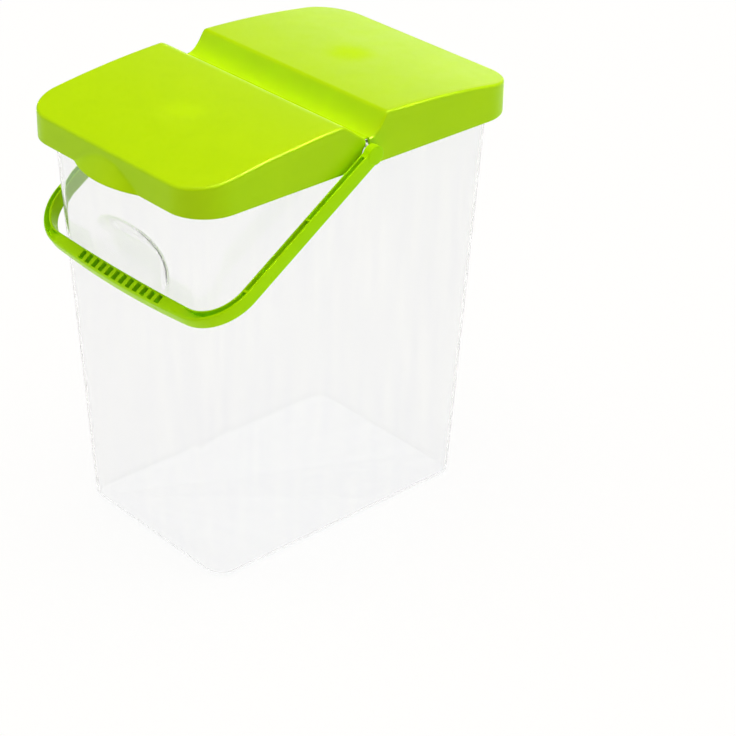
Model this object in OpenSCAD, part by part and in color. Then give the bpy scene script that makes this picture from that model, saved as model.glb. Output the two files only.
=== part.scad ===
// Rice bin with flip lid: a drafted clear bin, a two-part lid whose front flap
// lifts on a film hinge, and a bail handle that snaps over two moulded pins.
// Millimetres. Origin at the centre of the bin's underside, +Z up, flap towards -Y.

/* [Bin] */
// Outside width of the bin at its mouth, along X
bin_mouth_w = 165.2; // [158:0.1:172]
// Outside depth of the bin at its mouth, along Y
bin_mouth_d = 248.8; // [240:0.1:258]
// Height of the bin from the table to the top of its rim
bin_h = 290; // [275:0.5:305]
// How far each of the long sides leans in, from mouth to foot
side_draft = 9.5; // [6:0.1:12]
// How far the front and the back lean in, from mouth to foot
end_draft = 16.2; // [12:0.1:20]
// Thickness of the bin's walls
bin_wall = 1.8; // [1.4:0.1:2.4]
// Thickness of the bin's floor
bin_floor = 2.2; // [1.6:0.1:4]
// Corner radius of the bin at its foot, in plan
bin_foot_corner = 14; // [10:0.5:18]
// Corner radius of the bin at its mouth, in plan
bin_mouth_corner = 17; // [14:0.5:22]
// Radius where the floor turns up into the walls
bin_heel = 3; // [2:0.5:5]

/* [Rim] */
// Width of the flange beyond the bin's long sides
rim_side = 7.1; // [6:0.1:9]
// Width of the flange beyond the bin's front and back
rim_end = 8.5; // [7:0.1:10.5]
// Thickness of the flange round the mouth
rim_t = 2; // [1.4:0.1:3]
// Height of the flange's turned-down lip
rim_lip_h = 7; // [4:0.5:9]
// Thickness of the turned-down lip
rim_lip_t = 1.6; // [1.2:0.1:2.2]

/* [Finger recess] */
// Width of the recess behind the grip
recess_w = 79; // [60:1:90]
// Height of the recess
recess_h = 42; // [39:1:48]
// Drop from the top of the rim to the recess's centre
recess_drop = 71; // [66:0.5:76]
// Depth of the recess below the wall's face
recess_depth = 7; // [5:0.5:9]
// Corner radius of the recess
recess_corner = 19; // [10:0.5:19]
// How far the sides of the recess slope in towards its floor
recess_slope = 11; // [6:0.5:12]
// Corner radius of the recess's floor
recess_floor_corner = 7; // [4:0.5:7.5]

/* [Trunnions] */
// Drop from the top of the rim to the handle's pins
pin_drop = 2; // [1.5:0.1:3]
// Radius of each pin
pin_r = 3; // [2.6:0.05:3.4]
// How far each pin reaches into the handle's eye
pin_reach = 4; // [3:0.1:4.2]
// Radius of the collar that passes through the lid's skirt
collar_r = 4.2; // [3.8:0.1:4.6]
// Radius of the boss that carries the pin
boss_r = 5; // [4.6:0.1:5.5]

/* [Lid] */
// Corner radius of the lid, in plan
lid_corner = 28; // [22:0.5:32]
// Drop from the top of the rim to the skirt's lower edge
skirt_drop = 12.2; // [10:0.1:14]
// Thickness of the lid's skirt and top
lid_wall = 2; // [1.6:0.1:2.4]
// Radius of the rounded edge between top and skirt
lid_edge = 2.4; // [2.2:0.1:4]
// Radius of the arched top, seen from the side
crown_r = 730; // [600:10:1200]
// Rise of the arched top over the rim, at its highest
crown_rise = 20.8; // [19:0.1:24]
// Place of the highest point, measured from the hinge line
crown_y = 4.6; // [-5:0.1:10]

/* [Valley and film hinge] */
// Rise of the valley's bottom over the rim
valley_rise = 7; // [6:0.1:9]
// Gap between the two halves of the lid, which the film spans
hinge_gap = 3.5; // [2.5:0.1:4]
// Thickness of the film hinge
film_t = 0.5; // [0.4:0.05:0.8]
// Distance from the hinge line to the flap's upper back edge
bevel_run = 19.6; // [16:0.1:24]
// Distance from the hinge line to the rear cover's upper front edge
ramp_run = 16; // [13:0.5:18]
// How hollow the rear cover's ramp is: 1 is straight
ramp_sweep = 1.9; // [1:0.1:2.4]
// Softness of the crests beside the valley
crest_soft = 2.2; // [1:0.1:4]

/* [Inside the lid] */
// Thickness of the ribs under the lid
rib_t = 1.5; // [1.2:0.1:2]
// How far the locating rib reaches down inside the bin's mouth
rib_dip = 5; // [3:0.5:8]
// How far the seat ribs reach in from the skirt, over the bin's rim
seat_rib_w = 8; // [6:0.5:9]
// Spacing of the seat ribs along the lid's sides
seat_rib_pitch = 34; // [28:1:40]
// Spacing of the three seat ribs across its front and back
end_rib_pitch = 51; // [36:1:60]

/* [Thumb tab] */
// Width of the thumb tab at its lower edge
tab_w = 67; // [50:1:80]
// How far the tab stands out from the flap's front
tab_reach = 7.7; // [5:0.1:8.5]
// Height of the tab
tab_h = 14.2; // [10:0.1:15]

/* [Handle] */
// Outside corner radius of the handle
handle_corner = 35; // [30:1:42]
// Inside corner radius of the handle
handle_inner_corner = 26.5; // [22:0.5:32]
// Thickness of the arms, along X
arm_t = 5.6; // [5.4:0.1:5.8]
// Width of the grip bar at its middle
grip_w = 9.3; // [8.6:0.1:10]
// How far the outside of the grip bows out between its corners
bow_out = 2.5; // [0.5:0.1:4]
// How far the inside of the grip bows out between its corners
bow_in = 1.2; // [0.5:0.1:3]
// Depth of the section on its open side of the pins
handle_up = 5.05; // [4.5:0.05:6]
// Depth of the section on its closed side of the pins
handle_down = 5.6; // [5:0.1:5.8]
// Thickness of the flanges beside the groove
flange_t = 1.4; // [1.1:0.1:1.7]
// Thickness left under the groove and under the pockets
web_t = 3; // [2:0.1:5]
// Radius of the eye round each pin
eye_r = 6.5; // [5.8:0.1:7]
// How far the eyes' faces stand proud of the arms
eye_proud = 0.4; // [0.2:0.1:1]

/* [Grip] */
// Number of pockets in the grip
pocket_count = 12; // [8:1:14]
// Distance from one pocket to the next
pocket_pitch = 7.28; // [6.5:0.02:8]
// Width of a pocket along the grip
pocket_w = 4.1; // [3:0.1:5]
// Length of a pocket across the grip
pocket_len = 6.2; // [5:0.1:6.4]
// How far the row of pockets sits off the middle, towards the right
pocket_shift = 4.4; // [-5:0.2:5]
// Width of the grip left outside the pockets
pocket_margin = 2.1; // [1.4:0.1:2.4]
// Solid length of arm between an eye and the start of its groove
eye_land = 2; // [1:0.5:6]
// Number of stiffening ribs across the groove of each arm
arm_rib_count = 2; // [1:1:4]
// Distance between those ribs
arm_rib_pitch = 60; // [24:1:62]

/* [Fits] */
// Running clearance between a pin and its eye, on the radius
pin_clearance = 0.05; // [0.02:0.01:0.1]
// Gap between the bin's rim and the lid's skirt
rim_gap = 0.6; // [0.4:0.1:1]
// Gap between the locating rib and the inside of the bin
rib_gap = 1; // [0.8:0.1:1.5]
// Gap where the lid seats on the rim
seat_gap = 0.3; // [0.2:0.05:0.5]
// Gap between a collar and its notch in the skirt
notch_gap = 0.4; // [0.3:0.1:0.8]
// Gap between a collar's end and the handle's eye
eye_gap = 0.5; // [0.3:0.1:0.8]
// Gap between the lid's skirt and the handle's arms
arm_gap = 2.1; // [1.2:0.1:4]
// Gap between the lid's front and the grip as the handle swings past
grip_gap = 12.8; // [9:0.1:16]
// Gap between the bin's wall and the grip when the handle is down
rest_gap = 0.7; // [0.4:0.1:3]

/* [Hidden] */
$fn = 64;

// overshoot for clean cuts, and the facets of a rounded corner and of a rounded edge
over = 1;
corner_steps = 8;
edge_steps = 4;

// colours
clear_pp = [0.92, 0.95, 0.94, 0.45];
lime = [0.62, 0.84, 0.05];
lime_deep = [0.55, 0.78, 0.04];

// the bin's foot, and the lean of its front and back
bin_foot_w = bin_mouth_w - 2 * side_draft;
bin_foot_d = bin_mouth_d - 2 * end_draft;
wall_lean = atan(end_draft / bin_h);

// the rim's plan, and the lid's outside it by the skirt and its gap
rim_half_w = bin_mouth_w / 2 + rim_side;
rim_reach = bin_mouth_d / 2 + rim_end;
lid_skin = lid_wall + rim_gap;
lid_half_w = rim_half_w + lid_skin;
lid_reach = rim_reach + lid_skin;
half_gap = hinge_gap / 2;

// heights that follow the rim
recess_z = bin_h - recess_drop;
pin_z = bin_h - pin_drop;
skirt_z = bin_h - skirt_drop;
crown_z = bin_h + crown_rise;
valley_z = bin_h + valley_rise;

// the handle goes round the lid, and the trunnions reach out to it
arm_inner = lid_half_w + arm_gap;
handle_half_w = arm_inner + arm_t;
grip_inner = lid_reach + grip_gap;
handle_len = grip_inner + grip_w;
collar_end = arm_inner - eye_gap;
pin_end = arm_inner + pin_reach;
pin_chamfer = 0.6;
notch_r = collar_r + notch_gap;
bore_r = pin_r + pin_clearance;
bore_end = pin_end + eye_gap;
eye_face = handle_half_w + eye_proud;

// the handle's grip and corners
handle_depth = handle_up + handle_down;
grip_half = handle_half_w - handle_corner;
groove_floor = web_t - handle_down;
groove_start = eye_r + eye_land;

// the arms drop until the grip's lower inner edge is rest_gap from the front wall:
// along * cos(rest_angle) + across * sin(rest_angle) = stop
grip_reach = grip_inner - bow_in;
along = grip_reach + tan(wall_lean) * handle_down;
across = tan(wall_lean) * grip_reach - handle_down;
stop = bin_mouth_d / 2 - tan(wall_lean) * pin_drop + rest_gap / cos(wall_lean);
rest_angle = atan2(across, along) + acos(stop / norm([along, across]));

// the lid's ribs
rib_low_z = bin_h - rib_dip;
seat_z = bin_h + seat_gap;

// ---------------------------------------------------------------- profiles

// size of the bin at height z, between its foot and its mouth
function at_height(foot, mouth, z) = foot + (mouth - foot) * z / bin_h;

// height of the arched top at y
function crown(y) = crown_z - crown_r + sqrt(pow(crown_r, 2) - pow(y - crown_y, 2));

// the lower of two heights, with the crest between them rounded over
function soft_min(a, b) =
    min(a, b) - pow(max(crest_soft - abs(a - b), 0), 2) / crest_soft / 4;

// top of the flap: the arch, cut by a straight bevel that falls to the hinge
function flap_top(y) =
    soft_min(crown(y), valley_z + (crown(-bevel_run) - valley_z)
             * (-y - half_gap) / (bevel_run - half_gap));

// top of the rear cover: the arch, cut by a hollow ramp that falls to the hinge
function cover_top(y) =
    soft_min(crown(y), valley_z + (crown(ramp_run) - valley_z)
             * pow(max(y - half_gap, 0) / (ramp_run - half_gap), ramp_sweep));

// height of a half's top, where side is -1 for the flap and 1 for the rear cover
function top_at(side, y) = side < 0 ? flap_top(y) : cover_top(y);

// slope of that top, and the height of a surface a wall's thickness below it
slope_step = 0.25;
function slope_at(side, y) =
    (top_at(side, y + slope_step) - top_at(side, y - slope_step)) / (2 * slope_step);
function under_top(side, y, depth) =
    top_at(side, y) - depth * sqrt(1 + pow(slope_at(side, y), 2));

// ---------------------------------------------------------------- lid form

side_steps = 18;
// points crowd towards the hinge by this power, because the top curves most there
side_crowding = 1.6;

// half a plan outline, from the hinge to the middle of the end: [x, y] with x > 0
function half_plan(side, inset) =
    let (reach = lid_reach - lid_corner,
         x = lid_half_w - inset,
         r = lid_corner - inset)
    concat(
        [for (i = [0:side_steps])
            [x, side * (half_gap + (reach - half_gap) * pow(i / side_steps, side_crowding))]],
        [for (i = [1:corner_steps]) let (a = 90 * i / corner_steps)
            [x - r + r * cos(a), side * (reach + r * sin(a))]]);

// the whole outline, mirrored so that point i faces point n - 1 - i across the lid
function full_plan(side, inset) =
    let (half = half_plan(side, inset), n = len(half))
    concat(half, [for (i = [n - 1:-1:0]) [-half[i][0], half[i][1]]]);

// the flat lower ring of a surface that lies depth inside the outer one
function low_ring(side, depth) =
    [for (p = full_plan(side, depth)) [p[0], p[1], skirt_z]];

// a ring on its rounded edge, at angle a: 0 is the top of the skirt, 90 the top itself
function edge_ring(side, depth, a) =
    let (edge = max(lid_edge - depth, 1))
    [for (p = full_plan(side, depth + edge * (1 - cos(a))))
        [p[0], p[1], under_top(side, p[1], depth) - edge * (1 - sin(a))]];

// all rings of the surface that lies depth inside the outer one, from the skirt up
function surface_rings(side, depth) = concat(
    [low_ring(side, depth)],
    [for (i = [0:edge_steps]) edge_ring(side, depth, 90 * i / edge_steps)]);

// two triangles between neighbours a-b on one row and c-d on the next
function quad(a, b, c, d) = [[a, c, b], [b, c, d]];

// faces of one surface of m rings of n points, whose first point has index base
function surface_faces(base, n, m) = concat(
    [for (k = [0:m - 2], i = [0:n - 2], f = quad(base + k * n + i, base + k * n + i + 1,
        base + (k + 1) * n + i, base + (k + 1) * n + i + 1)) f],
    [for (i = [0:n / 2 - 2], f = quad(base + (m - 1) * n + i, base + (m - 1) * n + i + 1,
        base + m * n - 1 - i, base + m * n - 2 - i)) f]);

// indices along the open edge at the hinge, from one lower corner over to the other
function hinge_edge(base, n, m) = concat(
    [for (k = [0:m - 1]) base + k * n], [for (k = [m - 1:-1:0]) base + k * n + n - 1]);

// a strip between two rows of the same length
function strip(p, q) =
    [for (i = [0:len(p) - 2], f = quad(p[i], p[i + 1], q[i], q[i + 1])) f];

// the moulded shell of one half: an outer and an inner surface, joined round the
// skirt's lower edge and at the hinge
module half_shell(side) {
    outer = surface_rings(side, 0);
    inner = surface_rings(side, lid_wall);
    n = len(outer[0]);
    m = len(outer);
    faces = concat(
        surface_faces(0, n, m),
        [for (f = surface_faces(n * m, n, m)) [f[0], f[2], f[1]]],
        strip([for (i = [0:n - 1]) n * m + i], [for (i = [0:n - 1]) i]),
        strip(hinge_edge(0, n, m), hinge_edge(n * m, n, m)));
    turned = side < 0 ? [for (f = faces) [f[0], f[2], f[1]]] : faces;
    polyhedron(points = [for (rings = [outer, inner], r = rings, p = r) p],
               faces = turned, convexity = 8);
}

// ---------------------------------------------------------------- shared shapes

// a rectangle with round corners, as a ring of points at height z
function rect_ring(w, d, r, z) =
    [for (c = [0:3], i = [0:corner_steps]) let (a = 90 * (c + i / corner_steps))
        [(c == 0 || c == 3 ? 1 : -1) * (w / 2 - r) + r * cos(a),
         (c < 2 ? 1 : -1) * (d / 2 - r) + r * sin(a), z]];

// a solid through a stack of rings that all have the same number of points
module loft(rings) {
    n = len(rings[0]);
    m = len(rings);
    polyhedron(
        points = [for (r = rings, p = r) p],
        faces = concat(
            [[for (i = [0:n - 1]) i]],
            [for (k = [0:m - 2], i = [0:n - 1], f = quad(k * n + i, k * n + (i + 1) % n,
                (k + 1) * n + i, (k + 1) * n + (i + 1) % n)) f],
            [[for (i = [n - 1:-1:0]) (m - 1) * n + i]]),
        convexity = 4);
}

// a rectangle with true round corners
module round_rect(w, d, r) {
    square([w - 2 * r, d], center = true);
    square([w, d - 2 * r], center = true);
    for (sx = [-1, 1], sy = [-1, 1])
        translate([sx * (w / 2 - r), sy * (d / 2 - r)]) circle(r);
}

// the area inside a U open towards +Y: half width, length and corner radius. Its end
// is an arc that bows out and meets both corners smoothly
module bail_area(half_w, length, r, bow) {
    corner_x = half_w - r;
    end_r = (pow(corner_x, 2) + pow(bow, 2)) / (2 * bow);
    corner_y = end_r - length - sqrt(pow(end_r - r, 2) - pow(corner_x, 2));
    meet_x = corner_x * end_r / (end_r - r);
    translate([-half_w, corner_y]) square([2 * half_w, -corner_y]);
    for (sx = [-1, 1]) translate([sx * corner_x, corner_y]) circle(r);
    intersection() {
        translate([0, end_r - length]) circle(end_r, $fn = 360);
        translate([-meet_x, -length]) square([2 * meet_x, length]);
    }
}

// a cylinder along X from x0 to x1
module rod_x(x0, x1, r) {
    translate([x0, 0, 0]) rotate([0, 90, 0]) cylinder(h = x1 - x0, r = r);
}

// children on the right side and mirrored on the left
module both_sides() {
    children();
    mirror([1, 0, 0]) children();
}

// ---------------------------------------------------------------- bin

// a ring of the drafted bin at height z, shrunk by inset
function bin_ring(z, inset) =
    rect_ring(at_height(bin_foot_w, bin_mouth_w, z) - 2 * inset,
              at_height(bin_foot_d, bin_mouth_d, z) - 2 * inset,
              at_height(bin_foot_corner, bin_mouth_corner, z) - inset, z);

// the drafted form of the bin on its rounded heel, shrunk by inset, from low_z to top_z
module bin_form(inset, low_z, top_z) {
    heel = bin_heel - inset / 2;
    loft(concat(
        [for (i = [0:edge_steps]) let (a = 90 * i / edge_steps)
            bin_ring(low_z + heel * (1 - cos(a)), inset + heel * (1 - sin(a)))],
        [bin_ring(top_z, inset)]));
}

// the flange and its lip, as one solid outline under the lid's skirt
module rim_area(inset) {
    round_rect(2 * (rim_half_w - inset), 2 * (rim_reach - inset), lid_corner - lid_skin - inset);
}

module rim() {
    translate([0, 0, bin_h - rim_t]) linear_extrude(rim_t) rim_area(0);
    translate([0, 0, bin_h - rim_lip_h]) linear_extrude(rim_lip_h) difference() {
        rim_area(0);
        rim_area(rim_lip_t);
    }
}

// the finger recess as a solid, grown by skin: its rim lies in the front wall's face
module recess_form(skin) {
    floor_w = recess_w - 2 * recess_slope;
    floor_h = recess_h - 2 * recess_slope;
    translate([0, -at_height(bin_foot_d, bin_mouth_d, recess_z) / 2, recess_z])
        rotate([wall_lean - 90, 0, 0]) loft([
            recess_ring(recess_w, recess_h, recess_corner, skin, -over),
            recess_ring(recess_w, recess_h, recess_corner, skin, 0),
            recess_ring(floor_w, floor_h, recess_floor_corner, skin, recess_depth + skin)]);
}

// a ring of the recess at depth z below the wall's face
function recess_ring(w, h, r, skin, z) = rect_ring(w + 2 * skin, h + 2 * skin, r + skin, z);

// one trunnion: boss under the rim, collar through the lid's notch, pin in the eye
module trunnion() {
    boss_x = bin_mouth_w / 2 - bin_wall;
    translate([0, 0, pin_z]) {
        rod_x(boss_x, rim_half_w, boss_r);
        rod_x(boss_x, collar_end, collar_r);
        rod_x(boss_x, pin_end - pin_chamfer, pin_r);
        translate([pin_end - pin_chamfer, 0, 0]) rotate([0, 90, 0])
            cylinder(h = pin_chamfer, r1 = pin_r, r2 = pin_r - pin_chamfer);
    }
    translate([boss_x, -boss_r, bin_h - rim_lip_h])
        cube([rim_half_w - boss_x, 2 * boss_r, pin_z - bin_h + rim_lip_h]);
}

module bin() {
    color(clear_pp) difference() {
        union() {
            bin_form(0, 0, bin_h - rim_t / 2);
            rim();
            both_sides() trunnion();
        }
        difference() {
            bin_form(bin_wall, bin_floor, bin_h + boss_r);
            recess_form(bin_wall);
        }
        recess_form(0);
    }
}

// ---------------------------------------------------------------- lid

// everything under the middle of the arched top's thickness
module under_crown() {
    translate([0, crown_y, crown_z - crown_r])
        rotate([0, 90, 0]) cylinder(h = 2 * lid_half_w, r = crown_r - lid_wall / 2, center = true, $fn = 720);
}

// a seat rib, standing on the rim, with its back in the skirt at x = 0
module seat_rib() {
    translate([-seat_rib_w, -rib_t / 2, seat_z])
        cube([seat_rib_w - lid_wall / 2, rib_t, crown_z - seat_z]);
}

// the rib that drops just inside the bin's mouth, on one half of the lid
module locating_rib(side) {
    mouth_w = bin_mouth_w - 2 * (bin_wall + rib_gap);
    mouth_d = bin_mouth_d - 2 * (bin_wall + rib_gap);
    mouth_r = bin_mouth_corner - bin_wall - rib_gap;
    start = side < 0 ? bevel_run : ramp_run;
    translate([0, 0, rib_low_z]) linear_extrude(crown_z - rib_low_z) intersection() {
        difference() {
            round_rect(mouth_w, mouth_d, mouth_r);
            round_rect(mouth_w - 2 * rib_t, mouth_d - 2 * rib_t, mouth_r - rib_t);
        }
        translate([-lid_half_w, side < 0 ? -lid_reach : start + crest_soft])
            square([2 * lid_half_w, lid_reach - start - crest_soft]);
    }
}

// the ribs of one half, ending inside its top
module half_ribs(side) {
    intersection() {
        under_crown();
        union() {
            locating_rib(side);
            for (y = [seat_rib_pitch:seat_rib_pitch:lid_reach - lid_corner]) both_sides()
                translate([lid_half_w, side * y, 0]) seat_rib();
            for (x = [-end_rib_pitch, 0, end_rib_pitch])
                translate([x, side * lid_reach, 0]) rotate([0, 0, side * 90]) seat_rib();
        }
    }
}

// the notches that let the lid drop over the trunnion collars
module collar_notches() {
    drop = pin_z - skirt_z + over;
    both_sides() translate([lid_half_w - lid_wall - over, 0, pin_z])
        rotate([90, 0, 90]) linear_extrude(lid_wall + 2 * over) {
            circle(notch_r);
            translate([-notch_r, -drop]) square([2 * notch_r, drop]);
        }
}

module rear_cover() {
    color(lime) difference() {
        union() {
            half_shell(1);
            half_ribs(1);
        }
        collar_notches();
    }
}

// the flared lip under the flap's front edge: a slice of a cone, shrunk by skin
tab_low_r = (pow(tab_w / 2, 2) + pow(tab_reach, 2)) / (2 * tab_reach);
module tab_form(skin) {
    low = skin > 0 ? over : 0;
    flare = tab_reach / tab_h;
    translate([0, tab_low_r - lid_reach - tab_reach, skirt_z - low]) intersection() {
        cylinder(h = tab_h + low, r1 = tab_low_r - skin + low * flare,
                 r2 = tab_low_r - tab_reach - skin, $fn = 120);
        translate([-tab_w / 2, -tab_low_r, 0])
            cube([tab_w, tab_reach + lid_wall + (skin > 0 ? over : 0), tab_h + low]);
    }
}

module front_flap() {
    color(lime) difference() {
        union() {
            half_shell(-1);
            half_ribs(-1);
            tab_form(0);
        }
        tab_form(lid_wall);
        collar_notches();
    }
}

module film_hinge() {
    film_z = valley_z - lid_wall / 2;
    color(lime_deep) translate([0, 0, film_z])
        cube([2 * (lid_half_w - lid_edge), hinge_gap, film_t], center = true);
}

// ---------------------------------------------------------------- handle

// the groove's area: the band between the flanges, up the arms and round the corners
module groove_area() {
    difference() {
        bail_area(handle_half_w - flange_t, handle_len - flange_t,
                  handle_corner - flange_t, bow_out);
        bail_area(arm_inner + flange_t, grip_inner + flange_t,
                  handle_inner_corner + flange_t, bow_in);
        translate([-grip_half, -handle_len]) square([2 * grip_half, 2 * grip_w]);
        translate([-handle_half_w, -groove_start])
            square([2 * handle_half_w, groove_start + handle_depth]);
        for (i = [1:arm_rib_count])
            translate([-handle_half_w, -i * arm_rib_pitch - rib_t / 2])
                square([2 * handle_half_w, rib_t]);
    }
}

// the handle lies in its own plane here: arms along -Y, open side of the section up
module handle_flat() {
    difference() {
        union() {
            translate([0, 0, -handle_down]) linear_extrude(handle_depth) difference() {
                bail_area(handle_half_w, handle_len, handle_corner, bow_out);
                translate([0, over])
                    bail_area(arm_inner, grip_inner + over, handle_inner_corner, bow_in);
            }
            both_sides() rod_x(arm_inner, eye_face, eye_r);
        }
        translate([0, 0, groove_floor]) linear_extrude(handle_depth) groove_area();
        for (i = [0:pocket_count - 1])
            translate([pocket_shift + (i - (pocket_count - 1) / 2) * pocket_pitch,
                       pocket_margin + pocket_len / 2 - handle_len,
                       groove_floor + handle_depth / 2])
                cube([pocket_w, pocket_len, handle_depth], center = true);
        both_sides() rod_x(arm_inner - over, bore_end, bore_r);
    }
}

module bail_handle() {
    color(lime_deep) translate([0, 0, pin_z]) rotate([rest_angle, 0, 0]) handle_flat();
}

bin();
rear_cover();
front_flap();
film_hinge();
bail_handle();
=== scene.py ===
# %% [markdown]
# # A rice bin with a flip lid
# The object is three plastic mouldings: a clear drafted bin, a lime lid whose front
# half lifts on a film hinge, and a lime bail handle that snaps over two pins. The
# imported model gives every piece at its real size, in metres, so each finer mesh is
# built straight into its place. Sizes in the script are in millimetres, unless a name
# says metres.

# %% Load the frame
import math

import bmesh
import bpy
from mathutils import Euler, Matrix, Vector


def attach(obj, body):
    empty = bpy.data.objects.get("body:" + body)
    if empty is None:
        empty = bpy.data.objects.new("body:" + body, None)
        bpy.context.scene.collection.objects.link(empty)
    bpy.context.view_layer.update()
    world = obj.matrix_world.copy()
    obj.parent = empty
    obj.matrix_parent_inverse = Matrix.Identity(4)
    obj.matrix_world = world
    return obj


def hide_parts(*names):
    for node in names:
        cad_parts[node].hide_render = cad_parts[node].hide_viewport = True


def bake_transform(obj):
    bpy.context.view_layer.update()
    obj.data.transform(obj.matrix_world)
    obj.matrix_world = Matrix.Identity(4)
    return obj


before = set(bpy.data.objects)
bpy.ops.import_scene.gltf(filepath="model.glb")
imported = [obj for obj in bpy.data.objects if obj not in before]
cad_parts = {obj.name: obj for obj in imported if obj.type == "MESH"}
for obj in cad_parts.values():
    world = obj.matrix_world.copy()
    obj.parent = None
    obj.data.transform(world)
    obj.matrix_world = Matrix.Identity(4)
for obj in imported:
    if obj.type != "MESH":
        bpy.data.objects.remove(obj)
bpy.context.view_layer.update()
MM = 0.001
print("nodes:", sorted(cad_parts))

# %% [markdown]
# ## The camera
# A product shot of a bin like this is taken from a little above one corner, with a
# long lens, so that the sides stay nearly parallel. Turning the camera could put the
# object left of the middle, but would tilt its uprights, so the lens is shifted instead.

# %% Camera
CAMERA_AZIMUTH, CAMERA_ELEVATION, CAMERA_ROLL = 50.34, 28.91, -0.2
CAMERA_TARGET = Vector((-3.6, -4.7, 122.8)) * MM
CAMERA_DISTANCE = 1581 * MM
SENSOR_MM, IMAGE_PX, FOCAL_PX = 36, 736, 2306
AXIS_PX = (264.4, 329.0)
NEAREST_METRES, FURTHEST_METRES = 0.05, 50


def make_camera():
    data = bpy.data.cameras.new("camera")
    data.sensor_width = SENSOR_MM
    data.lens = FOCAL_PX * SENSOR_MM / IMAGE_PX
    data.shift_x = (IMAGE_PX / 2 - AXIS_PX[0]) / IMAGE_PX
    data.shift_y = (AXIS_PX[1] - IMAGE_PX / 2) / IMAGE_PX
    data.clip_start, data.clip_end = NEAREST_METRES, FURTHEST_METRES
    camera = bpy.data.objects.new("camera", data)
    bpy.context.scene.collection.objects.link(camera)
    azimuth, elevation = math.radians(CAMERA_AZIMUTH), math.radians(CAMERA_ELEVATION)
    away = Vector((math.sin(azimuth) * math.cos(elevation),
                   -math.cos(azimuth) * math.cos(elevation), math.sin(elevation)))
    roll = Euler((0, 0, math.radians(CAMERA_ROLL))).to_quaternion()
    turn = (-away).to_track_quat("-Z", "Y") @ roll
    camera.matrix_world = (Matrix.Translation(CAMERA_TARGET + away * CAMERA_DISTANCE)
                           @ turn.to_matrix().to_4x4())
    bpy.context.scene.camera = camera
    return camera


camera = make_camera()
print("lens:", round(camera.data.lens, 1), "mm")

# %% [markdown]
# ## Meshes from rings
# A moulding is a skin of even thickness. A box with Solidify and Bevel modifiers comes
# near it, but can't change an edge along its way. So the mesh is written as rings of
# points that follow the outside, turn over the edge and come back down the inside.
# Neighbouring rings join with four-sided faces, which shade smoothly. One function
# turns points and faces into an object, one joins rings, and one welds the mesh and
# creases it only where faces meet sharply.

# %% Mesh helpers
CREASE_DEGREES = 38
WELD = 0.002 * MM
ML = (10 * MM) ** 3


def make_piece(name, points, faces):
    mesh = bpy.data.meshes.new(name)
    mesh.from_pydata([Vector(p) * MM for p in points], [], faces)
    piece = bpy.data.objects.new(name, mesh)
    bpy.context.scene.collection.objects.link(piece)
    return piece


def loft(name, rings):
    count = len(rings[0])
    last = (len(rings) - 1) * count
    faces = [list(range(count)), list(range(last, last + count))]
    for k in range(0, last, count):
        for i in range(count):
            j = (i + 1) % count
            faces.append([k + i, k + j, k + count + j, k + count + i])
    return make_piece(name, [p for ring in rings for p in ring], faces)


def finish_mesh(piece):
    work = bmesh.new()
    work.from_mesh(piece.data)
    bmesh.ops.remove_doubles(work, verts=work.verts, dist=WELD)
    bmesh.ops.dissolve_degenerate(work, edges=work.edges, dist=WELD)
    bmesh.ops.recalc_face_normals(work, faces=work.faces)
    open_edges = sum(not edge.is_manifold for edge in work.edges)
    volume = work.calc_volume() / ML
    work.to_mesh(piece.data)
    work.free()
    piece.data.shade_smooth()
    piece.data.set_sharp_from_angle(angle=math.radians(CREASE_DEGREES))
    print(piece.name, "faces", len(piece.data.polygons), "open edges", open_edges,
          "volume", round(volume, 2), "ml")


def arc(steps, start, end):
    return [math.radians(start + (end - start) * i / steps) for i in range(steps + 1)]


# %% [markdown]
# ## Joining and cutting solids
# Pins, ribs and notches meet a curved skin along a line that nobody wants to work out
# by hand. They are made as small solids that reach into the skin, and an exact boolean
# joins or cuts them. Both solids have to face outwards for that.

# %% Carving
def face_outwards(part):
    work = bmesh.new()
    work.from_mesh(part.data)
    bmesh.ops.recalc_face_normals(work, faces=work.faces)
    if work.calc_volume(signed=True) < 0:
        bmesh.ops.reverse_faces(work, faces=work.faces)
    work.to_mesh(part.data)
    work.free()


def carve(piece, tool, operation):
    face_outwards(piece)
    face_outwards(tool)
    change = piece.modifiers.new(operation, "BOOLEAN")
    change.operation, change.object, change.solver = operation, tool, "EXACT"
    shaped = piece.evaluated_get(bpy.context.evaluated_depsgraph_get())
    mesh = bpy.data.meshes.new_from_object(shaped)
    piece.modifiers.clear()
    piece.data = mesh
    bpy.data.objects.remove(tool)


# %% [markdown]
# ## The bin
# The bin is one injection moulding in clear polypropylene. Its walls lean in towards
# the foot so that it leaves the mould and stacks, and a flange with a turned-down lip
# stiffens its mouth. A scaled cube would have corners of one radius, but the real ones
# grow from foot to mouth. So every ring is a rectangle with round corners of its own:
# half a width, half a depth, a corner radius and a height.

# %% Bin rings
BIN_H = 290.0
FOOT, MOUTH, RIM = (73.1, 108.2, 14.0), (82.6, 124.4, 17.0), (89.7, 132.9, 25.4)
CORNER_STEPS, SIDE_STEPS, BACK_STEPS = 14, 15, 13
# the front wall has its columns close together where the finger recess lies
DENSE_SHARE, DENSE_STEPS = 0.74, 68
FRONT_STOPS = ([-1, -0.92, -0.85, -0.79]
               + [-DENSE_SHARE + 2 * DENSE_SHARE * i / DENSE_STEPS for i in range(DENSE_STEPS + 1)]
               + [0.79, 0.85, 0.92])


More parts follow.
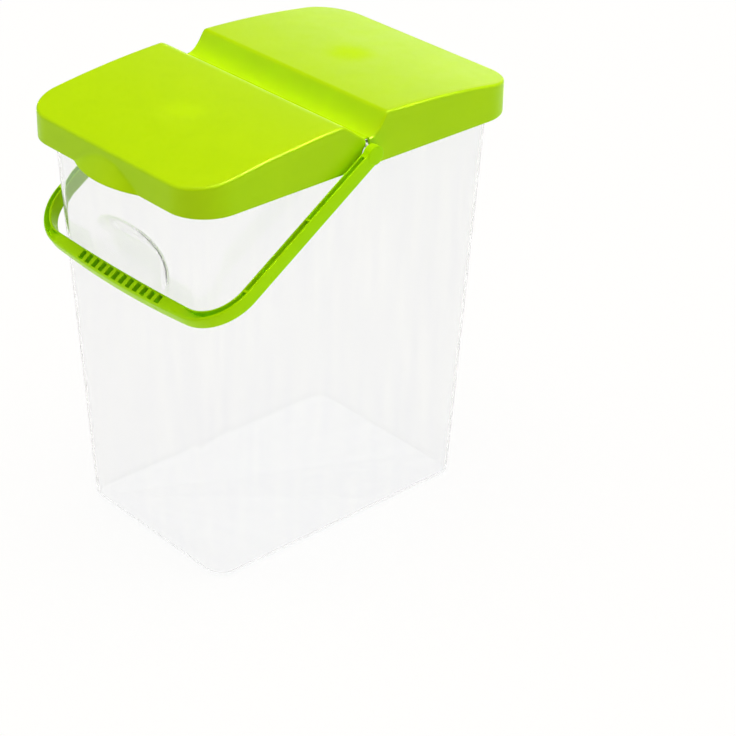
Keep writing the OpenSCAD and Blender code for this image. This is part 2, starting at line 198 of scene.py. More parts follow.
def rounded_ring(half_w, half_d, radius, z):
    flat_w, flat_d = half_w - radius, half_d - radius
    points = [(stop * flat_w, -half_d, z) for stop in FRONT_STOPS]
    sides = [((1, -1), SIDE_STEPS, (half_w, -flat_d), (half_w, flat_d)),
             ((1, 1), BACK_STEPS, (flat_w, half_d), (-flat_w, half_d)),
             ((-1, 1), SIDE_STEPS, (-half_w, flat_d), (-half_w, -flat_d)),
             ((-1, -1), 0, None, None)]
    for turn, ((sx, sy), steps, start, end) in enumerate(sides):
        for angle in arc(CORNER_STEPS, 90 * turn - 90, 90 * turn):
            points.append((sx * flat_w + radius * math.cos(angle),
                           sy * flat_d + radius * math.sin(angle), z))
        for i in range(1, steps):
            points.append((start[0] + (end[0] - start[0]) * i / steps,
                           start[1] + (end[1] - start[1]) * i / steps, z))
    return points[:-1]


def wall_ring(z, out):
    grow = [foot + (mouth - foot) * z / BIN_H for foot, mouth in zip(FOOT, MOUTH)]
    return rounded_ring(grow[0] + out, grow[1] + out, grow[2] + out, z)


def rim_ring(inset, z):
    return rounded_ring(RIM[0] - inset, RIM[1] - inset, RIM[2] - inset, z)


print("points in a ring:", len(wall_ring(0, 0)))

# %% [markdown]
# ## The finger recess
# Behind the grip the front wall is pressed in, so that fingers get round the handle.
# A boolean could cut it, but would thin the wall. Here both faces are pushed inwards.
# The push grows from the recess's outline over a sloping side, and is rounded where it
# starts and where it reaches the flat floor. In a clear wall the two faces have to stay
# parallel, because a wall that thins in a wedge shows as a dark line.

# %% Finger recess
BIN_WALL = 1.8
RECESS_Z, RECESS_DEPTH, RECESS_SLOPE, RECESS_SOFT = 219.0, 7.0, 14.0, 0.2
RECESS_HALF, RECESS_ROUND = (40.2, 24.0), 2.35
LEAN = math.atan((MOUTH[1] - FOOT[1]) / BIN_H)
MIDDLE_REACH, PROBE, PARALLEL_ROUNDS, HAIR = 0.05, 0.1, 5, 0.01


def soft_step(t, soft):
    def lift(v):
        return 0 if v <= -soft else v if v >= soft else (v + soft) ** 2 / (4 * soft)
    return lift(t) - lift(t - 1)


def inside_recess(x, z):
    # how far a point lies inside the outline, which is a slightly squared ellipse
    across, up = abs(x) / RECESS_HALF[0], abs(z - RECESS_Z) / math.cos(LEAN) / RECESS_HALF[1]
    reach = (across ** RECESS_ROUND + up ** RECESS_ROUND) ** (1 / RECESS_ROUND)
    reach = max(reach, MIDDLE_REACH)
    steep = math.hypot((across / reach) ** (RECESS_ROUND - 1) / RECESS_HALF[0],
                       (up / reach) ** (RECESS_ROUND - 1) / RECESS_HALF[1])
    return (1 - reach) / steep


def press(inside):
    return RECESS_DEPTH * soft_step(inside / RECESS_SLOPE, RECESS_SOFT)


def inner_press(inside):
    # the inner face lies one wall thickness away, square to the outer face
    start, tilt = inside, 0
    for _ in range(PARALLEL_ROUNDS):
        tilt = math.atan((press(start + PROBE) - press(start - PROBE)) / (2 * PROBE))
        start = inside + BIN_WALL * math.sin(tilt)
    return press(start) - BIN_WALL * (1 - math.cos(tilt))


def recessed(ring, push_by):
    front = min(p[1] for p in ring) + HAIR
    pushed = []
    for x, y, z in ring:
        push = push_by(inside_recess(x, z)) if y < front else 0
        pushed.append((x, y + push * math.cos(LEAN), z + push * math.sin(LEAN)))
    return pushed


print("recess depth in mm:", round(press(RECESS_HALF[1]), 2))

# %% [markdown]
# ## From the foot to the rim and back
# The rings climb the outside from the round heel, pass under the flange, round the
# lip's end and over the rim, and go down the inside to the floor. Each arc in the list
# is one rounded edge of the moulding.

# %% Bin skin
BIN_FLOOR, HEEL, RIM_T, LIP_H, LIP_T, RIM_EDGE, MOUTH_EDGE = 2.2, 3.0, 2.0, 7.0, 1.6, 1.0, 0.8
WALL_ROWS = ([HEEL + 15.75 * i for i in range(1, 13)] + [194 + 1.3 * i for i in range(41)]
             + [250, 258, 266, 274, 281])


def bin_rings():
    rings = [wall_ring(HEEL * (1 - math.cos(a)), -HEEL * (1 - math.sin(a)))
             for a in arc(6, 0, 90)]
    rings += [recessed(wall_ring(z, 0), press) for z in WALL_ROWS]
    under, low, lip = BIN_H - RIM_T, BIN_H - LIP_H, LIP_T / 2
    rings += [wall_ring(under - RIM_EDGE + RIM_EDGE * math.sin(a),
                        RIM_EDGE - RIM_EDGE * math.cos(a)) for a in arc(4, 0, 90)]
    rings += [rim_ring(LIP_T + MOUTH_EDGE - MOUTH_EDGE * math.sin(a),
                       under - MOUTH_EDGE + MOUTH_EDGE * math.cos(a)) for a in arc(4, 0, 90)]
    rings += [rim_ring(lip + lip * math.cos(a), low + lip * (1 - math.sin(a)))
              for a in arc(8, 0, 180)]
    rings += [rim_ring(RIM_EDGE - RIM_EDGE * math.cos(a),
                       BIN_H - RIM_EDGE + RIM_EDGE * math.sin(a)) for a in arc(4, 0, 90)]
    rings += [wall_ring(BIN_H - MOUTH_EDGE * (1 - math.sin(a)),
                        MOUTH_EDGE * (1 - math.cos(a)) - BIN_WALL) for a in arc(4, 90, 0)]
    rings += [recessed(wall_ring(z, -BIN_WALL), inner_press) for z in reversed(WALL_ROWS)]
    turn = HEEL - BIN_WALL / 2
    rings += [wall_ring(BIN_FLOOR + turn * (1 - math.cos(a)),
                        -BIN_WALL - turn * (1 - math.sin(a))) for a in arc(6, 90, 0)]
    return rings


bin_skin = bin_rings()
clear_bin = loft("clear_bin", bin_skin)
print("rings in the bin:", len(bin_skin))

# %% [markdown]
# ## The trunnions
# The handle turns on two pins that are moulded with the bin. Each is one turned shape:
# a boss out of the wall, a collar that keeps the handle off the lid, and the pin. They
# could be extruded from the wall, but that would pull its rings out of line, so each is
# a solid of its own that is joined on. A web between wall and lip carries the pull.

# %% Trunnions
PIN_Z, PIN_R, COLLAR_R, BOSS_R = 288.0, 3.0, 4.2, 5.0
ARM_INNER, PIN_END, COLLAR_END = 94.4, 98.4, 93.9
BOSS_SINK, BOSS_EDGE, COLLAR_EDGE, PIN_EDGE = 0.05, 0.3, 0.4, 0.6
WEB_SINK, WEB_RISE = 0.4, 0.2


def rod(name, stops, side, steps=48):
    return loft(name, [[(side * x, r * math.cos(a), PIN_Z + r * math.sin(a))
                        for a in arc(steps, 0, 360)[:-1]] for x, r in stops])


def block(name, low, high):
    plan = [(low[0], low[1]), (high[0], low[1]), (high[0], high[1]), (low[0], high[1])]
    return loft(name, [[(x, y, z) for x, y in plan] for z in (low[2], high[2])])


def add_trunnion(piece, side):
    start, face = MOUTH[0] - BIN_WALL / 2, RIM[0] - BOSS_SINK
    stops = [(start, BOSS_R), (RIM[0] - BOSS_EDGE, BOSS_R), (face, BOSS_R - BOSS_EDGE),
             (face, COLLAR_R), (COLLAR_END - COLLAR_EDGE, COLLAR_R),
             (COLLAR_END, COLLAR_R - COLLAR_EDGE), (COLLAR_END, PIN_R),
             (PIN_END - PIN_EDGE, PIN_R), (PIN_END, PIN_R - PIN_EDGE)]
    carve(piece, rod("trunnion", stops, side), "UNION")
    low, high = sorted((side * start, side * (RIM[0] - WEB_SINK)))
    web = block("web", (low, -BOSS_R, BIN_H - LIP_H + WEB_RISE), (high, BOSS_R, PIN_Z))
    carve(piece, web, "UNION")


for side in (-1, 1):
    add_trunnion(clear_bin, side)
finish_mesh(clear_bin)

# %% [markdown]
# ## The lid's form
# The lid is a shallow arch over its length, cut by a valley along the hinge. In front
# of the hinge the top falls in a straight bevel, and behind it rises in a hollow ramp,
# so the flap can lie back against the ramp. Both crests are softly rounded. It could be
# sculpted from a subdivided plane, but a height that is worked out at every place keeps
# the inner skin exactly one wall below, square to the top's slope.

# %% Lid heights
CROWN_R, CROWN_Z, CROWN_Y, VALLEY_Z = 730.0, 310.8, 4.6, 297.0
HALF_GAP, BEVEL_RUN, RAMP_RUN, RAMP_SWEEP, CREST_SOFT = 1.75, 19.6, 16.0, 1.9, 2.2
SLOPE_STEP = 0.25


def crown(y):
    return CROWN_Z - CROWN_R + math.sqrt(CROWN_R ** 2 - (y - CROWN_Y) ** 2)


def top_at(y):
    run, sweep = (-BEVEL_RUN, 1) if y < 0 else (RAMP_RUN, RAMP_SWEEP)
    share = max(abs(y) - HALF_GAP, 0) / (abs(run) - HALF_GAP)
    slope = VALLEY_Z + (crown(run) - VALLEY_Z) * share ** sweep
    crest = max(CREST_SOFT - abs(crown(y) - slope), 0)
    return min(crown(y), slope) - crest ** 2 / CREST_SOFT / 4


def slope_at(y):
    if abs(y) > HALF_GAP + SLOPE_STEP:
        return (top_at(y + SLOPE_STEP) - top_at(y - SLOPE_STEP)) / (2 * SLOPE_STEP)
    outward = math.copysign(SLOPE_STEP, y)
    return (top_at(y + outward) - top_at(y)) / outward


def below_top(y, depth):
    return top_at(y) - depth * math.sqrt(1 + slope_at(y) ** 2)


print("crests at", round(top_at(-BEVEL_RUN), 1), "and", round(top_at(RAMP_RUN), 1), "mm")

# %% [markdown]
# ## The gate marks
# The melt enters each half of the lid at one spot in the middle of its top. The
# plastic there shrinks a little more as it cools, which leaves a shallow dish that only
# its reflection gives away. A bump in the material would be lost in the bare mesh, so
# the points of the top are lowered.

# %% Gate marks
# the side of the hinge, -1 for the flap and 1 for the cover, and where its gate lies
GATE_Y = {-1: -74.0, 1: 66.0}
GATE_SPREAD, GATE_DEPTH = 11.0, 0.25


def gate_dish(side, x, y):
    away = (x ** 2 + (y - GATE_Y[side]) ** 2) / GATE_SPREAD ** 2
    return GATE_DEPTH * math.exp(-away)


print("gates", list(GATE_Y.values()), "mm from the hinge")

# %% [markdown]
# ## The thumb tab
# Under the flap's front edge a lens-shaped lip stands out for the thumb. It is a slice
# of a cone, so it reaches furthest at the foot of the skirt and dies away upwards. A
# solid lens joined on would fill it, so both faces of the skirt are pushed out instead,
# which leaves the lip hollow from below.

# %% Thumb tab
SKIRT_Z = 277.8
TAB_W, TAB_REACH, TAB_H, TAB_SOFT, TAB_MARGIN = 67.0, 7.7, 14.2, 0.5, 3
TAB_R = ((TAB_W / 2) ** 2 + TAB_REACH ** 2) / (2 * TAB_REACH)


def tab_push(x, z, depth):
    radius = TAB_R - depth - TAB_REACH * (z - SKIRT_Z) / TAB_H
    if abs(x) >= radius:
        return 0
    push = math.sqrt(radius ** 2 - x ** 2) - (TAB_R - depth - TAB_REACH)
    return max(push, 0) if abs(push) >= TAB_SOFT else (push + TAB_SOFT) ** 2 / (4 * TAB_SOFT)


print("radius of the tab's foot:", round(TAB_R, 1), "mm")

# %% [markdown]
# ## One half of the lid
# A half is an outer and an inner skin joined round the foot of the skirt and at the
# hinge. The rings run from the hinge round the three outer sides. One large face could
# close the top, but would shade badly over the arch, so the last ring is also the
# border of a grid that fills it.

# %% Rings of a lid half
LID_HALF_W, LID_REACH, LID_CORNER, LID_WALL, LID_EDGE = 92.3, 135.5, 28.0, 2.0, 1.9
LEAST_EDGE, FOOT_R = 1, 0.6
LID_ROWS, LID_CORNER_STEPS, EDGE_STEPS, SKIRT_STEPS = 66, 16, 7, 15
# the rows stand closer together towards the hinge, where the top bends most
ROW_CROWDING = 1.6


def half_plan(side, inset, columns):
    x, radius, reach = LID_HALF_W - inset, LID_CORNER - inset, LID_REACH - LID_CORNER
    right = [(x, HALF_GAP + (reach - HALF_GAP) * (i / LID_ROWS) ** ROW_CROWDING)
             for i in range(LID_ROWS + 1)]
    right += [(x - radius + radius * math.cos(a), reach + radius * math.sin(a))
              for a in arc(LID_CORNER_STEPS, 0, 90)[1:]]
    corner = right[-1]
    front = [(corner[0] * (1 - 2 * j / columns), corner[1]) for j in range(1, columns)]
    left = [(-px, py) for px, py in reversed(right)]
    return [(px, side * py) for px, py in right + front + left]


def skin_rings(side, depth, columns):
    toward = -1 if depth else 1
    foot = [[(x, y, SKIRT_Z + FOOT_R * (1 - math.sin(a)))
             for x, y in half_plan(side, depth + toward * FOOT_R * (1 - math.cos(a)), columns)]
            for a in arc(3, 90, 0)]
    edge = max(LID_EDGE - depth, LEAST_EDGE)
    upper = [[(x, y, below_top(y, depth) - edge * (1 - math.sin(a)))
              for x, y in half_plan(side, depth + edge * (1 - math.cos(a)), columns)]
             for a in arc(EDGE_STEPS, 0, 90)]
    low = SKIRT_Z + FOOT_R
    skirt = [[(x, y, low + (z - low) * i / SKIRT_STEPS) for x, y, z in upper[0]]
             for i in range(1, SKIRT_STEPS)]
    return foot + skirt + upper


def with_tab(ring, depth):
    front = -LID_REACH + LID_EDGE + LID_WALL
    reach = TAB_W / 2 + TAB_MARGIN
    return [(x, y - tab_push(x, z, depth) if y < front and abs(x) < reach else y, z)
            for x, y, z in ring]


# %% Skins of a lid half
def sew(low, high, faces):
    for i in range(len(low) - 1):
        faces.append([low[i], low[i + 1], high[i + 1], high[i]])


def top_grid(side, border, ring, columns, points):
    rows = (len(border) - columns + 1) // 2
    grid = []
    for k, (edge_x, y, z) in enumerate(ring[:rows - 1]):
        row = [border[k]]
        for j in range(1, columns):
            x = edge_x * (1 - 2 * j / columns)
            row.append(len(points))
            points.append((x, y, z - gate_dish(side, x, y)))
        grid.append(row + [border[-1 - k]])
    return grid + [border[rows - 1:len(border) - rows + 1]]


def skin(side, depth, columns, points, faces):
    rings = skin_rings(side, depth, columns)
    if side < 0:
        rings = [with_tab(ring, depth) for ring in rings]
    index = []
    for ring in rings:
        index.append(list(range(len(points), len(points) + len(ring))))
        points.extend(ring)
    for low, high in zip(index, index[1:]):
        sew(low, high, faces)
    grid = top_grid(side, index[-1], rings[-1], columns, points)
    for low, high in zip(grid, grid[1:]):
        sew(low, high, faces)
    hinge_end = ([row[0] for row in index] + grid[0][1:-1]
                 + [row[-1] for row in reversed(index)])
    return index[0], hinge_end


def lid_shell(name, side, columns):
    points, faces = [], []
    outer_foot, outer_end = skin(side, 0, columns, points, faces)
    inner_foot, inner_end = skin(side, LID_WALL, columns, points, faces)
    sew(outer_foot, inner_foot, faces)
    sew(outer_end, inner_end, faces)
    return make_piece(name, points, faces)


# %% [markdown]
# ## Ribs under the lid
# A thin rib drops just inside the bin's mouth and keeps the lid in place, and short
# ribs round the skirt stand on the rim. They are seen when the flap is open, so they
# are joined to the shell as solids and not only drawn on it. A round notch on each
# side leaves room for the collar of the trunnion.

# %% Lid ribs
RIB_T, RIB_LOW, RIB_EDGE, RIB_PLAN = 1.5, 285.0, 0.4, (79.8, 121.6, 14.2)
SEAT_Z, SEAT_W, SEAT_SINK = 290.3, 8.0, 0.6
NOTCH_R, CUT_OVER = 4.6, 1


def rib_top(y):
    return below_top(y, LID_WALL / 2)


def rib_path(side, inset):
    half_w, half_d, radius = (size - inset for size in RIB_PLAN)
    start = (BEVEL_RUN if side < 0 else RAMP_RUN) + CREST_SOFT
    reach = RIB_PLAN[1] - RIB_PLAN[2]
    right = [(half_w, start + (reach - start) * i / 4) for i in range(5)]
    right += [(half_w - radius + radius * math.cos(a), reach + radius * math.sin(a))
              for a in arc(10, 0, 90)[1:]]
    return [(x, side * y) for x, y in right + [(-x, y) for x, y in reversed(right)]]


def locating_rib(side):
    section = [(0, None), (0, RIB_LOW + RIB_EDGE), (RIB_EDGE, RIB_LOW),
               (RIB_T - RIB_EDGE, RIB_LOW), (RIB_T, RIB_LOW + RIB_EDGE), (RIB_T, None)]
    lines = [[(x, y, rib_top(y) if z is None else z) for x, y in rib_path(side, inset)]
             for inset, z in section]
    return loft("rib", [list(station) for station in zip(*lines)])


def seat_rib(x, y, along_x):
    half, sink = RIB_T / 2, 0 if along_x else SEAT_SINK

    def corner(depth, aside):
        if along_x:
            return x - math.copysign(depth, x), y + aside
        return x + aside, y - math.copysign(depth, y)

    plan = [corner(SEAT_W, -half), corner(LID_WALL / 2, -half),
            corner(LID_WALL / 2, half), corner(SEAT_W, half)]
    return loft("seat", [[(px, py, SEAT_Z) for px, py in plan],
                         [(px, py, rib_top(py) - sink) for px, py in plan]])


def collar_notch(sign):
    outline = [(NOTCH_R * math.cos(a), PIN_Z + NOTCH_R * math.sin(a)) for a in arc(32, 0, 180)]
    outline += [(-NOTCH_R, SKIRT_Z - CUT_OVER), (NOTCH_R, SKIRT_Z - CUT_OVER)]
    return loft("notch", [[(sign * x, y, z) for y, z in outline]
                          for x in (LID_HALF_W - LID_WALL - CUT_OVER, LID_HALF_W + CUT_OVER)])


# %% Lid halves
SEAT_PITCH, END_PITCH = 34.0, 51.0
# the flap has its columns closer together, for the tab in its skirt
FLAP_COLUMNS, COVER_COLUMNS = 120, 60


def lid_half(name, side, columns):
    half = lid_shell(name, side, columns)
    carve(half, locating_rib(side), "UNION")
    rows = int((LID_REACH - LID_CORNER) // SEAT_PITCH)
    for i in range(1, rows + 1):
        for sign in (-1, 1):
            carve(half, seat_rib(sign * LID_HALF_W, side * i * SEAT_PITCH, True), "UNION")
    for x in (-END_PITCH, 0, END_PITCH):
        carve(half, seat_rib(x, side * LID_REACH, False), "UNION")
    for sign in (-1, 1):
        carve(half, collar_notch(sign), "DIFFERENCE")
    finish_mesh(half)
    return half


flap_piece = lid_half("lid_front_flap", -1, FLAP_COLUMNS)
cover_piece = lid_half("lid_rear_cover", 1, COVER_COLUMNS)

# %% [markdown]
# ## The film hinge
# Between the halves the plastic is only half a millimetre thick, and it bends there
# thousands of times. It thickens towards both halves in a small curve. It could belong
# to one half, but it has to bend across the joint, so it is a piece of its own.

# %% Film hinge
FILM_T, FILM_TOP, FILM_LOW = 0.5, 296.5, VALLEY_Z - LID_WALL
FILM_STEPS, FILM_COLUMNS = 16, 24


def film_strip():
    stops = [HALF_GAP * (2 * i / FILM_STEPS - 1) for i in range(FILM_STEPS + 1)]
    shares = [(y / HALF_GAP) ** 2 for y in stops]
    section = [(y, FILM_TOP + (VALLEY_Z - FILM_TOP) * share) for y, share in zip(stops, shares)]
    section += [(y, FILM_TOP - FILM_T + (FILM_LOW - FILM_TOP + FILM_T) * share)
                for y, share in zip(reversed(stops), reversed(shares))]
    half = LID_HALF_W - LID_EDGE
    return loft("lid_film_hinge", [[(half * (2 * k / FILM_COLUMNS - 1), y, z) for y, z in section]
                                   for k in range(FILM_COLUMNS + 1)])


film_piece = film_strip()
finish_mesh(film_piece)

# %% [markdown]
# ## The bail handle
# The handle is a channel section bent into a U: two thin flanges with a groove
# between them, which is closed into a row of pockets along the grip. A curve with a
# bevel profile gives the U in one step, but not a groove that comes and goes. So it is
# drawn flat as stations along the U, with the depth of the groove set station by
# station, and is then turned down to where it rests against the bin.

# %% The two edges of the U
# half a width, length at the middle, corner radius, bow of the grip
OUTER_EDGE, INNER_EDGE = (100.0, 157.6, 35.0, 2.5), (94.4, 148.3, 26.5, 1.2)


def edge_point(edge, part, t):
    half_w, length, radius, bow = edge
    corner_x = half_w - radius
    end_r = (corner_x ** 2 + bow ** 2) / (2 * bow)
    down = math.sqrt((end_r - radius) ** 2 - corner_x ** 2)
    if part == "arm":
        return half_w, -t
    if part == "corner":
        angle = t * math.atan2(down, corner_x)
        return (corner_x + radius * math.cos(angle),
                end_r - length - down - radius * math.sin(angle))
    return t, end_r - length - math.sqrt(end_r ** 2 - t ** 2)


def smooth(share):
    share = min(max(share, 0), 1)
    return share * share * (3 - 2 * share)


# %% [markdown]
# ## Stations along the handle
# A station is a part of the U, a place on it, the share of the groove's depth that is
# open there, and how round the shoulders are. Two stations close together make the
# steep wall of a rib or pocket. Through the corner the groove fades out and the
# shoulders grow round, so that the grip is kind to the hand.

# %% Handle stations
GROOVE_START, ARM_RIB_Y, ARM_RIB_T, ARM_END, STEEP = 6.6, 60.0, 1.5, 119.2, 0.15
CORNER_ROWS, SOFT_ROWS, FADE_END, FADE_RUN = 30, 24, 1.16, 0.62
# the second cross rib of each arm ends just inside the corner, where the groove goes on
CORNER_RIB_END, CORNER_GROOVE = 0.012, 0.016
# across the grip, just before its pockets: place, and how far round the fade has come
GRIP_FADE = ((66.0, 1.04), (64.0, 1.08), (62.0, 1.12), (60.0, FADE_END))
POCKETS, POCKET_PITCH, POCKET_W, POCKET_SHIFT = 12, 7.28, 4.1, 4.4


def arm_stations():
    near, far = ARM_RIB_Y - ARM_RIB_T / 2, ARM_RIB_Y + ARM_RIB_T / 2
    walls = [(0, 0), (GROOVE_START, 0), (GROOVE_START + STEEP, 1), (26, 1), (43, 1),
             (near - STEEP, 1), (near, 0), (far, 0), (far + STEEP, 1),
             (75, 1), (90, 1), (105, 1), (ARM_END - STEEP, 1), (ARM_END, 0)]
    return [("arm", s, depth, 0) for s, depth in walls]


def fade(t):
    return smooth((FADE_END - t) / FADE_RUN)


def corner_stations():
    return ([("corner", CORNER_RIB_END, 0, 0), ("corner", CORNER_GROOVE, 1, 0)]
            + [("corner", i / CORNER_ROWS, fade(i / CORNER_ROWS), smooth(i / SOFT_ROWS))
               for i in range(1, CORNER_ROWS + 1)])


def grip_stations():
    ends = [(x, fade(t)) for x, t in GRIP_FADE]
    stations = list(ends)
    for i in reversed(range(POCKETS)):
        centre = POCKET_SHIFT + (i - (POCKETS - 1) / 2) * POCKET_PITCH
        stations += [(centre + POCKET_W / 2, 0), (centre + POCKET_W / 2 - STEEP, 1),
                     (centre - POCKET_W / 2 + STEEP, 1), (centre - POCKET_W / 2, 0)]
    stations += [(-x, depth) for x, depth in reversed(ends)]
    return [("grip", x, depth, 1) for x, depth in stations]


def handle_path():
    def place(stations):
        return [(*(edge_point(edge, part, t) for edge in (OUTER_EDGE, INNER_EDGE)), depth, soft)
                for part, t, depth, soft in stations]
    side = place(arm_stations() + corner_stations())
    left = [((-o[0], o[1]), (-i[0], i[1]), depth, soft) for o, i, depth, soft in reversed(side)]
    return side + place(grip_stations()) + left


print("stations along the handle:", len(handle_path()))

# %% [markdown]
# ## The section of the handle
# Half a section runs from the foot of one flange over its rounded top and down into
# the groove, and the other half mirrors it from the other edge of the U. Where the
# groove is closed, its points are lifted to the level of the shoulders, so every ring
# keeps the same number of points.

# %% Handle section
HANDLE_UP, HANDLE_DOWN, FLANGE_T, GROOVE_FLOOR = 5.05, 5.6, 1.4, -2.6
EDGE_R, FLANGE_FILLET = 0.9, 0.45
ARM_TOP_R, GRIP_TOP_R = (1.0, 0.7), (2.8, 1.3)
GROOVE_SIDE, GROOVE_ABOVE = FLANGE_T - 0.5, -HANDLE_DOWN + 1.5


def handle_section(top_r):
    low, r, f = -HANDLE_DOWN, EDGE_R, FLANGE_FILLET
    points = [(r - r * math.cos(a), low + r - r * math.sin(a)) for a in arc(4, 90, 0)]
    last = math.degrees(math.acos(max(1 - (FLANGE_T - f) / top_r, 0)))
    points += [(top_r - top_r * math.cos(a), HANDLE_UP - top_r + top_r * math.sin(a))
               for a in arc(5, 0, last)]
    points += [(FLANGE_T - f + f * math.sin(a), HANDLE_UP - f + f * math.cos(a))
               for a in arc(3, 0, 90)]
    points += [(FLANGE_T + f - f * math.cos(a), GROOVE_FLOOR + f - f * math.sin(a))
               for a in arc(3, 0, 90)]
    return points


def shoulder(inset, top_r):
    return HANDLE_UP - top_r + math.sqrt(top_r ** 2 - max(top_r - inset, 0) ** 2)


def handle_ring(outer, inner, depth, soft):
    outer, inner = Vector((*outer, 0)), Vector((*inner, 0))
    across = (inner - outer).normalized()
    lowest = HANDLE_UP - (HANDLE_UP - GROOVE_FLOOR) * depth
    halves = []
    for start, inward, arm_r, grip_r in zip((outer, inner), (across, -across),
                                            ARM_TOP_R, GRIP_TOP_R):
        top_r = arm_r + (grip_r - arm_r) * soft
        half = []
        for inset, z in handle_section(top_r):
            if inset > GROOVE_SIDE and z > GROOVE_ABOVE:
                z = min(max(z, lowest), shoulder(inset, top_r))
            half.append((start + inward * inset) + Vector((0, 0, z)))
        halves.append(half)
    return [tuple(point) for point in halves[0] + halves[1][::-1]]


print("points in a handle ring:", 2 * len(handle_section(ARM_TOP_R[0])))

# %% [markdown]
# ## The eyes and the finished handle
# Each arm ends in a round eye with a domed face and a blind bore from the inside, which
# snaps over the pin. The eyes are turned shapes like the pins, joined and bored after
# the U has been turned down to its resting angle.

# %% Bail handle
REST_DEGREES = 33.05
EYE_R, EYE_FACE, EYE_EDGE, BORE_R, BORE_END = 6.5, 100.4, 0.4, 3.05, 98.9
# how far behind the face, and how much smaller in radius
EYE_DOME = ((0.5, 0), (0.26, 0.3), (0.09, 0.8), (0, 1.6))
EYE_STEPS = 64


def turned(points, degrees):
    angle = math.radians(degrees)
    return [(x, y * math.cos(angle) - z * math.sin(angle),
             y * math.sin(angle) + z * math.cos(angle) + PIN_Z) for x, y, z in points]


def bail_handle():
    rings = [turned(handle_ring(*station), REST_DEGREES) for station in handle_path()]
    handle = loft("handle_bail", rings)
    eye = [(ARM_INNER, EYE_R - EYE_EDGE), (ARM_INNER + EYE_EDGE, EYE_R)]
    eye += [(EYE_FACE - back, EYE_R - drop) for back, drop in EYE_DOME]
    bore = [(ARM_INNER - CUT_OVER, BORE_R), (BORE_END, BORE_R)]
    for side in (-1, 1):
        carve(handle, rod("eye", eye, side, EYE_STEPS), "UNION")
        carve(handle, rod("bore", bore, side), "DIFFERENCE")
    finish_mesh(handle)
    return handle


handle_piece = bail_handle()

# %% [markdown]
# ## Colours and nodes
# Colours are written as the eye sees them, in sRGB hex values, while Blender computes
# in linear light, so one function turns one into the other. A second small function
# adds a node, gives it its settings and joins its inputs, so that a material reads
# from top to bottom like a recipe.

# %% Colour and node helpers
def linear(hex_colour):
    channels = [int(hex_colour[i:i + 2], 16) / 255 for i in (1, 3, 5)]
    return [c / 12.92 if c <= 0.04045 else ((c + 0.055) / 1.055) ** 2.4 for c in channels] + [1.0]


def add_node(tree, kind, links=None, **settings):
    node = tree.nodes.new(kind)
    for name, value in settings.items():
        setattr(node, name, value)
    for socket, source in (links or {}).items():
        if hasattr(source, "node"):
            tree.links.new(source, node.inputs[socket])
        else:
            node.inputs[socket].default_value = source
    return node


def per_metre(size_mm):
    return 1 / (size_mm * MM)


print("a lime in linear light:", [round(channel, 3) for channel in linear("#B3E000")])

# %% [markdown]
# ## The blush over the gates
# Over the gate, where the melt came in, each lid half has a dull spot, which moulders
# call blush. It could be painted on the mesh, but a distance from the gate needs no
# painting. It is a little extra roughness that fades out over 24 mm, so it changes the
# sheen and not the colour.

# %% Gate blush
BLUSH_MM, BLUSH_DULL = 24, 0.26


def gate_blush(tree, where):
    blush = 0.0
    for y in GATE_Y.values():
        away = add_node(tree, "ShaderNodeVectorMath", {0: where, 1: (0, y * MM, crown(y) * MM)},
                        operation="DISTANCE")
        spot = add_node(tree, "ShaderNodeMapRange",
                        {"Value": away.outputs["Value"], "From Min": 0.0,
                         "From Max": BLUSH_MM * MM, "To Min": BLUSH_DULL, "To Max": 0.0},
                        interpolation_type="SMOOTHERSTEP")
        blush = add_node(tree, "ShaderNodeMath", {0: blush, 1: spot.outputs["Result"]},
                         operation="ADD").outputs[0]
    return blush


# %% [markdown]
# ## Lime polypropylene
# Lid and handle are polypropylene with a lime pigment, moulded against a finely
# spark-eroded tool. That gives the eye a deep even colour with a soft sheen, not a
# mirror. The pigment swirls a little with the flow, hands and shelves polish the skin
# unevenly, and the tool's grain breaks up the sheen. Each gets a noise at its own scale.
# Real grain is about 0.15 mm, so it is drawn at 0.9 mm to show at all.

# %% Lime polypropylene
PP_IOR = 1.49
SWIRL_MM, POLISH_MM, GRAIN_MM, RIPPLE_MM = 48, 14, 0.9, 26
POLISH_SPREAD, GRAIN_DEPTH_MM, RIPPLE_DEPTH_MM = 0.04, 0.05, 0.6


def lime_bump(tree, where):
    ripple = add_node(tree, "ShaderNodeTexNoise", {"Vector": where, "Detail": 1.0,
                                                   "Scale": per_metre(RIPPLE_MM)})
    sink = add_node(tree, "ShaderNodeBump", {"Height": ripple.outputs["Fac"], "Strength": 0.12,
                                             "Distance": RIPPLE_DEPTH_MM * MM})
    grain = add_node(tree, "ShaderNodeTexNoise", {"Vector": where, "Detail": 2.0,
                                                  "Scale": per_metre(GRAIN_MM)})
    skin_bump = add_node(tree, "ShaderNodeBump", {"Height": grain.outputs["Fac"], "Strength": 0.1,
                                                  "Distance": GRAIN_DEPTH_MM * MM,
                                                  "Normal": sink.outputs["Normal"]})
    return skin_bump.outputs["Normal"]


